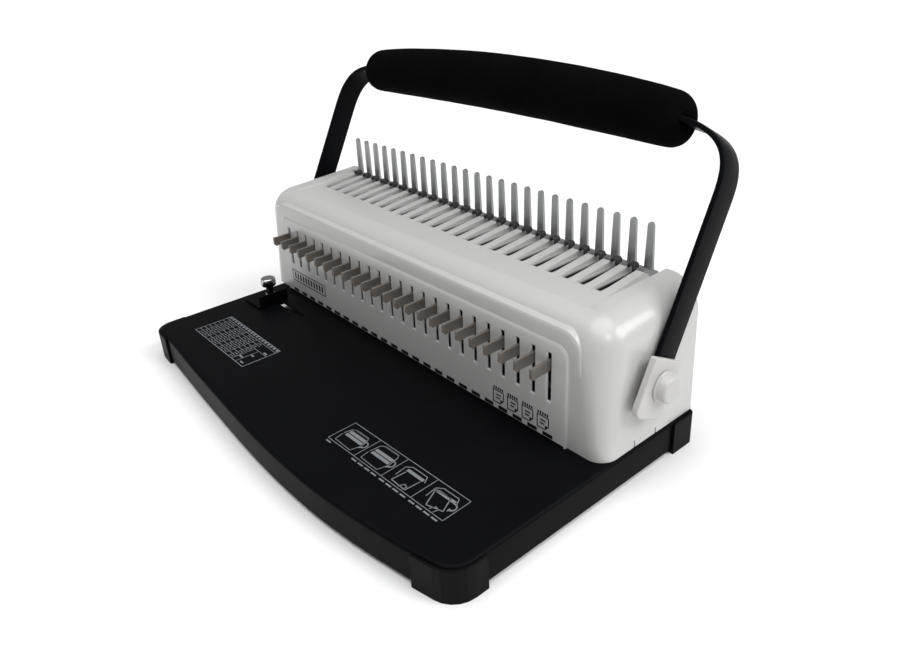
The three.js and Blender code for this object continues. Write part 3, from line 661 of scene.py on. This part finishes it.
def build_pivots():
    """White covers on the arm ends, and a round cap on each pivot."""
    for side, name in ((-1, "left"), (1, "right")):
        inner, outer = ARM_OUTSIDE + GAP, ARM_OUTSIDE + SHOE_THICK
        outline = rounded([(SHOE["front"], SHOE["low"], SHOE_FOOT_R),
                           (SHOE["rear"], SHOE["low"], SHOE_FOOT_R),
                           (SHOE["rear"], SHOE["high"], SHOE_TOP_R),
                           (SHOE["front"], SHOE["high"], SHOE_TOP_R)], 10)
        shoe = make(f"shoe_{name}", *prism_mesh("x", outline, *sorted((side * inner, side * outer))), HANDLE)
        soften(shoe, 1.1, 4, 40.0)
        finish_piece(shoe, "handle", CAP_WHITE, "white_plastic", f"pivot_cover_{name}")
        turned = lathe("x", [(r, side * (outer + GAP + a)) for r, a in CAP_PROFILE], (0, 0, 0), 64)
        knob = make(f"pivot_button_{name}", *turned, HANDLE)
        shade_smooth(knob, 32.0)
        finish_piece(knob, "handle", CAP_WHITE, "white_plastic", f"pivot_cap_{name}")


build_pivots()


# ---------------------------------------------------------------- hooks, knob and prints
def build_hooks():
    """Sliding plate with a hooded hook in each slot."""
    low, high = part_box("hook_comb")
    front, plate_z = (low.y - SHIFT.y) / MM, 108.2
    half = (high.x - low.x) / 2 / MM
    comb = make("hook_plate", *block(-half, half, front, 86.0, plate_z, plate_z + 3))
    necks, hoods, holes = [], [], []
    for x in PIN_X:
        necks.append(block(x - 1.6, x + 1.6, 81.4, 84.8, plate_z + 1, 125.0))
        outline = rounded([(x - 2.9, 123.7), (x + 2.9, 123.7),
                           (x + 2.9, 127.2, 1.4), (x - 2.9, 127.2, 1.4)], 4)
        hoods.append(prism_mesh("y", outline, 80.2, 85.8))
        holes.append(block(x - 1.7, x + 1.7, 78.0, 83.8, 119.0, 125.9))
    apply_boolean(comb, [make("necks", *merge(necks)), make("hoods", *merge(hoods))], "UNION")
    apply_boolean(comb, [make("holes", *merge(holes))], "DIFFERENCE")
    soften(comb, 0.3, 2, 35.0)
    return finish_piece(comb, "hooks", DARK_STEEL, "dark_steel", "hook_comb")


def knurled(centre, z_low, z_high, radius, teeth=44):
    """Turned head with a straight knurl and rounded rims."""
    rings = []
    for share, z in ((0.80, z_low), (0.94, z_low + 0.3), (1.0, z_low + 1.0), (1.0, z_high - 1.4),
                     (0.95, z_high - 0.5), (0.84, z_high - 0.05), (0.5, z_high)):
        ring = []
        for k in range(teeth * 2):
            turn = math.pi * k / teeth
            depth = 0.28 if k % 2 and share == 1.0 else 0.0
            r = radius * share - depth
            ring.append((centre[0] + r * math.cos(turn), centre[1] + r * math.sin(turn), z))
        rings.append(ring)
    return loft(rings)


def build_knob():
    low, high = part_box("guide_knob")
    centre = ((low + high) / 2 - SHIFT) / MM
    top, radius = high.z / MM, (high.x - low.x) / 2 / MM
    foot, head = DECK_Z + 2.2, top - 7.8
    knob = make("thumb_knob", *merge([
        knurled(centre, head, top, radius),
        lathe("z", [(0.01, foot), (4.6, foot), (4.6, foot + 1.2), (3.5, foot + 1.7), (3.5, head + 0.2),
                    (0.01, head + 0.2)], (centre.x, centre.y, 0), 32),
        lathe("z", [(0.01, 21.0), (1.9, 21.0), (1.9, foot + 0.2), (0.01, foot + 0.2)],
              (centre.x, centre.y, 0), 20)]))
    shade_smooth(knob, 40.0)
    return finish_piece(knob, "knob", CHROME, "chrome", "guide_knob")


def build_tabs():
    """Selector tabs: a thin plate with a thicker, turned-down front edge."""
    for i in range(PINS):
        name = f"selector_tab_{i + 1:02d}"
        low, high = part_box(name)
        low, high = (low - SHIFT) / MM, (high - SHIFT) / MM
        x, half = (low.x + high.x) / 2, (high.x - low.x) / 2
        plate = rounded([(low.y + 0.6, low.z + 0.6, 2.2), (high.y, low.z + 0.6), (high.y, high.z),
                         (low.y + 0.6, high.z, 0.8)], 5)
        rim = rounded([(low.y, low.z + 1.6, 0.9), (low.y + 2.3, low.z - 0.5, 0.9),
                       (low.y + 2.9, low.z + 1.2, 0.3), (low.y + 1.9, high.z, 0.5),
                       (low.y, high.z, 0.6)], 4)
        tab = make(f"tab_{i + 1:02d}_plate", *prism_mesh("x", plate, x - half + 0.3, x + half - 0.3))
        apply_boolean(tab, [make("rim", *prism_mesh("x", rim, x - half, x + half))], "UNION")
        soften(tab, 0.3, 2, 30.0)
        finish_piece(tab, f"tab_{i + 1:02d}", TAB_BROWN, "tab_brown", name)


build_knob()
build_hooks()
build_tabs()

INK_FOOT, INK = 0.02, 0.12   # a print's lower and upper face, over the surface it is on


def deck_line(a, b, wide):
    """A printed line on the deck from a to b."""
    a, b = Vector(a), Vector(b)
    side = Vector((a.y - b.y, b.x - a.x)).normalized() * wide / 2
    corners = [a - side, b - side, b + side, a + side]
    return prism_mesh("z", [tuple(p) for p in corners], DECK_Z + INK_FOOT, DECK_Z + INK)


def deck_path(points, wide):
    return [deck_line(a, b, wide) for a, b in zip(points, points[1:])]


def deck_arrow(centre, radius):
    """A half-round arrow."""
    arc = [(centre[0] + radius * math.cos(t), centre[1] + radius * math.sin(t))
           for t in [math.radians(110 - 25 * k) for k in range(8)]]
    tip = arc[-1]
    head = [(tip[0] - 1.6, tip[1] + 1.2), (tip[0] + 0.9, tip[1] + 1.4), (tip[0] - 1.2, tip[1] - 1.8)]
    return deck_path(arc, 1.0) + [prism_mesh("z", head, DECK_Z + INK_FOOT, DECK_Z + INK)]


def build_chart():
    """Generic size chart: a ruled grid with short marks in its cells and a row of teeth along the rear."""
    x0, x1, y0, y1 = -164.0, -74.0, -102.0, -68.0
    columns, rows = 14, 7
    step_x, step_y = (x1 - x0) / columns, (y1 - y0) / (rows + 1)
    parts = deck_path([(x0, y1), (x0, y0), (x1, y0), (x1, y1), (x0, y1)], 0.7)
    for c in range(1, columns - 1):
        stop = y1 - step_y if c < columns - 3 else y0 + 5 * step_y
        parts.append(deck_line((x0 + c * step_x, y0), (x0 + c * step_x, stop), 0.5))
    for r in range(1, rows + 1):
        end = x1 if r in (5, rows) else x1 - 3 * step_x
        parts.append(deck_line((x0, y0 + r * step_y), (end, y0 + r * step_y), 0.5))
    for c in range(columns - 3):
        for r in range(rows):
            if (c * 5 + r * 3) % 3:
                x, y = x0 + (c + 0.5) * step_x, y0 + (r + 0.5) * step_y
                parts.append(deck_line((x - 1.2, y), (x + 1.2, y), 0.9))
    teeth = 18
    for k in range(teeth):
        x = x0 + 2.5 + k * (x1 - x0 - 5) / (teeth - 1)
        parts.append(deck_line((x - 1.4, y1 - 1.6), (x + 1.4, y1 - 1.6), 2.2))
    for x, y, wide in ((-90, -95, 6.0), (-84, -88, 4.0), (-81, -99, 5.0), (-79, -79, 5.0)):
        parts.append(deck_line((x - wide / 2, y), (x + wide / 2, y), 1.6))
    chart = make("chart_print", *merge(parts))
    return finish_piece(chart, "root", INK_WHITE, "white_plastic")


def machine_sketch(x, y, handle_up):
    """Small drawing of the machine: housing block, deck edge and handle."""
    parts = [deck_line((x - 8, y + 0.5 + 3.4 * k), (x + 10, y + 0.5 + 3.4 * k), 2.6) for k in range(2)]
    parts += deck_path([(x - 10, y - 1), (x - 9, y - 8), (x + 9, y - 8.5), (x + 11, y - 1)], 0.5)
    back = y + (10.2 if handle_up else 7.6)
    parts += deck_path([(x - 10, y), (x - 9, back - 2), (x - 6, back), (x + 8, back), (x + 10, back - 3),
                        (x + 11, y)], 0.55)
    parts.append(deck_line((x - 5, back), (x + 7, back), 1.2))
    return parts


def build_steps():
    """Strip of four generic drawings that show how the machine is used, with plain bars for captions."""
    x0, x1, y0, y1 = -59.0, 59.0, -11.4, 11.4
    cell = (x1 - x0) / 4
    parts = deck_path([(x0, y0), (x1, y0), (x1, y1), (x0, y1), (x0, y0)], 0.5)
    for c in range(1, 4):
        parts.append(deck_line((x0 + c * cell, y0), (x0 + c * cell, y1), 0.5))
    for c in range(4):
        x, y = x0 + (c + 0.5) * cell, -1.0
        if c < 2:
            parts += machine_sketch(x - 1, y, c == 1)
        else:
            handle = [(x - 9, y - 3), (x - 10, y + 6), (x - 6, y + 9), (x + 8, y + 9), (x + 11, y + 4)]
            parts += deck_path(handle, 0.6)
            parts.append(deck_line((x - 7, y + 5), (x + 9, y + 5), 2.4))
            sheet = [(x - 6, y + 3), (x - 7, y - 8), (x + 7, y - 8.5), (x + 8, y + 3)]
            if c == 3:
                sheet = [(x - 9, y + 5), (x - 3, y - 8), (x + 9, y - 5), (x + 4, y + 6), (x - 9, y + 5)]
            parts += deck_path(sheet, 0.7)
            parts += deck_path([(x + 1, y - 9), (x + 3, y - 5), (x + 6, y - 6), (x + 5, y - 9.5)], 0.6)
        if c != 2:
            parts += deck_arrow((x + 10, y + 1), 3.2)
        for k in range(1 if c == 0 else 4):
            start = x0 + c * cell + 1.2 + k * 7.0
            parts.append(deck_line((start, y0 - 2.4), (start + 5.2, y0 - 2.4), 1.2))
    place = Matrix.Translation((116.0, -89.9, 0)) @ Matrix.Rotation(math.radians(1.9), 4, "Z")
    steps = make("steps_print", *merge(parts), place)
    return finish_piece(steps, "root", INK_WHITE, "white_plastic")


def panel_shape(outline):
    """A printed shape on the front panel, which leans back a little."""
    points, faces = prism_mesh("y", outline, -INK, -INK_FOOT)
    return [(x, y + RAKE * (z - DECK_Z), z) for x, y, z in points], faces


def panel_rect(x0, x1, z0, z1):
    return panel_shape([(x0, z0), (x1, z0), (x1, z1), (x0, z1)])


def page_icon(x, z):
    """A bound page: ring dots along the top, two plain bars and a folded corner."""
    wide, tall, line = 11.0, 10.5, 0.8
    parts = [panel_rect(x, x + line, z, z + tall), panel_rect(x, x + wide - 3.5, z, z + line),
             panel_rect(x + wide - line, x + wide, z + 3.5, z + tall),
             panel_rect(x, x + wide, z + tall - line, z + tall),
             panel_shape([(x + wide - 3.5, z), (x + wide, z + 3.5), (x + wide - 3.5, z + 3.5)])]
    parts += [panel_rect(x + 0.6 + 2.1 * k, x + 1.9 + 2.1 * k, z + tall + 0.5, z + tall + 2.6)
              for k in range(5)]
    parts += [panel_rect(x + 3.0, x + 8.2, z + 6.2, z + 7.3), panel_rect(x + 3.0, x + 7.0, z + 3.6, z + 4.7)]
    return parts


def build_panel_prints():
    """Row of dashes over the throat, four page icons and a plain comb sign in a frame."""
    parts = [panel_rect(x - 4.5, x + 4.5, 27.8, 30.7) for x in PIN_X]
    for k in range(4):
        parts += page_icon(111.5 + 14.3 * k, 32.0)
    left, right, low, high = -168.0, -110.0, 38.8, 50.0
    parts += [panel_rect(left, right, low, low + 0.9), panel_rect(left, right, high - 0.9, high),
              panel_rect(left, left + 0.9, low, high), panel_rect(right - 0.9, right, low, high)]
    teeth = 11
    for k in range(teeth):
        x = left + 4 + k * (right - left - 8 - 2.4) / (teeth - 1)
        parts.append(panel_rect(x, x + 2.4, low + 2.6, high - 2.4))
    prints = make("panel_print", *merge(parts))
    return finish_piece(prints, "root", INK_BLACK, "black_plastic")


build_chart()
build_steps()
build_panel_prints()


# ---------------------------------------------------------------- CAD nodes that keep their shape
KEPT = {
    "black_plastic": (BLACK_PLASTIC, 0.8, ["foot_front_left", "foot_front_right", "foot_rear_left",
                                           "foot_rear_right", "chip_drawer"]),
    "rear": (PEARL, 0.3, ["rear_cover"]),
    "zinc": (ZINC, 0.35, ["finger_comb", "drive_shaft", "punch_set", "die_plate", "paper_stop", "guide_nut"]),
    "dark": (DARK_STEEL, 0.3, ["side_frame_left", "side_frame_right", "crank_left", "crank_right",
                               "hook_lever_left", "hook_lever_right", "ram_bar", "punch_guide",
                               "hook_rail_left", "hook_rail_right"]),
    "nylon": (NYLON, 0.3, ["bush_left", "bush_right"]),
    "guide": (BLACK_PAINT, 0.35, ["edge_guide"]),
}


def finish_kept_nodes():
    for material, width, names in KEPT.values():
        for name in names:
            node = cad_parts[name]
            node.data.materials.clear()
            node.data.materials.append(material)
            bevel = node.modifiers.new("edges", "BEVEL")
            bevel.width = width * MM
            bevel.segments = 2
            bevel.limit_method = "ANGLE"
            bevel.angle_limit = math.radians(35.0)
            bevel.harden_normals = True


finish_kept_nodes()


# ---------------------------------------------------------------- floor, light and camera
FLOOR_REACH = 30000
WORLD_LIGHT = 0.26


def build_stage():
    reach = FLOOR_REACH
    corners = [(-reach, -reach, 0), (reach, -reach, 0), (reach, reach, 0), (-reach, reach, 0)]
    floor = make("floor", corners, [(0, 1, 2, 3)])
    material, _, _, shader = new_material("floor_pale")
    shader.inputs["Base Color"].default_value = (0.90, 0.90, 0.90, 1.0)
    shader.inputs["Roughness"].default_value = 0.8
    shader.inputs["Specular IOR Level"].default_value = 0.1
    floor.data.materials.append(material)
    world = bpy.data.worlds.new("studio")
    world.use_nodes = True
    world.node_tree.nodes["Background"].inputs["Color"].default_value = (1.0, 1.0, 1.0, 1.0)
    world.node_tree.nodes["Background"].inputs["Strength"].default_value = WORLD_LIGHT
    bpy.context.scene.world = world
    bpy.context.scene.view_settings.view_transform = "Standard"


def place_light(light, direction, place=(0, 0, 0)):
    """Puts a light in the scene at a place (mm, row frame), shining along a direction."""
    lamp = bpy.data.objects.new(light.name, light)
    bpy.context.scene.collection.objects.link(lamp)
    lamp.location = Vector(place) * MM
    lamp.rotation_mode = "QUATERNION"
    lamp.rotation_quaternion = Vector(direction).to_track_quat("-Z", "Y")


def add_sun(name, direction, strength, spread):
    light = bpy.data.lights.new(name, "SUN")
    light.energy = strength
    light.angle = math.radians(spread)
    place_light(light, direction)


def add_softbox(name, place, target, size, power):
    """Square area light at a place (mm, row frame), turned towards a target."""
    light = bpy.data.lights.new(name, "AREA")
    light.shape = "SQUARE"
    light.size = size * MM
    light.energy = power
    place_light(light, Vector(target) - Vector(place), place)


def build_lights():
    """Broad soft lights from the rear right and from above; a smaller front softbox draws the edges."""
    add_sun("key", (-0.75, -0.50, -0.75), 1.6, 36.0)
    add_sun("top", (0.05, 0.10, -1.0), 2.05, 60.0)
    add_softbox("edge", (900, -350, 1000), (100, 0, 100), 320, 2.2)


CAMERA_PLACE = (453.78, -303.11, 335.19)
CAMERA_YAW, CAMERA_PITCH, CAMERA_ROLL = 0.86985, 0.45811, -0.04976
CAMERA_LENS, CAMERA_SHIFT = 30.76, (-0.0253, -0.0249)


def build_camera():
    """The camera stands to the front right and looks down at the deck."""
    yaw, pitch, roll = CAMERA_YAW, CAMERA_PITCH, CAMERA_ROLL
    back = Vector((math.sin(yaw) * math.cos(pitch), -math.cos(yaw) * math.cos(pitch), math.sin(pitch)))
    right = (-back).cross(Vector((0, 0, 1))).normalized()
    up = back.cross(right)
    tilted_right = math.cos(roll) * right + math.sin(roll) * up
    tilted_up = -math.sin(roll) * right + math.cos(roll) * up
    data = bpy.data.cameras.new("camera")
    data.sensor_width = 36.0
    data.lens = CAMERA_LENS
    data.shift_x, data.shift_y = CAMERA_SHIFT
    camera = bpy.data.objects.new("camera", data)
    bpy.context.scene.collection.objects.link(camera)
    rotation = Matrix((tilted_right, tilted_up, back)).transposed().to_4x4()
    camera.matrix_world = Matrix.Translation(put([CAMERA_PLACE])[0]) @ rotation
    bpy.context.scene.camera = camera


build_stage()
build_lights()
build_camera()
